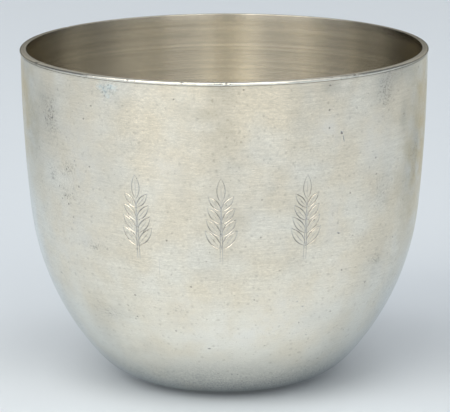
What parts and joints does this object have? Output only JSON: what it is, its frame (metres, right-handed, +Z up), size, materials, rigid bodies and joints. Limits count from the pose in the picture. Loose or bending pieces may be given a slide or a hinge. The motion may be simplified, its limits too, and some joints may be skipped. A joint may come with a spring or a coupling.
{
  "type": "jefferson cup",
  "caption": "Round-bottomed pewter drinking cup with nearly upright sides, a plain lip edged with fine wire and a small flat base, for holding and drinking cold drinks.",
  "frame": {"origin": "on the cup's axis, in the plane that it stands on", "axes": "+Z up along the cup's axis, towards the mouth; X and Y are any two level directions, because the cup is round, with the engraved front facing -Y in the visual model"},
  "size_m": [0.0826, 0.0826, 0.0681],
  "materials": {
    "spun_pewter": "aged satin pewter with faint turning lines round the axis",
    "pewter_wire": "rubbed pewter, brighter than the wall",
    "pewter_disc": "turned pewter, a little duller than the wall"
  },
  "bodies": {
    "root": {"body_wall": "spun_pewter", "lip_wire": "pewter_wire", "base_disc": "pewter_disc"}
  },
  "joints": []
}
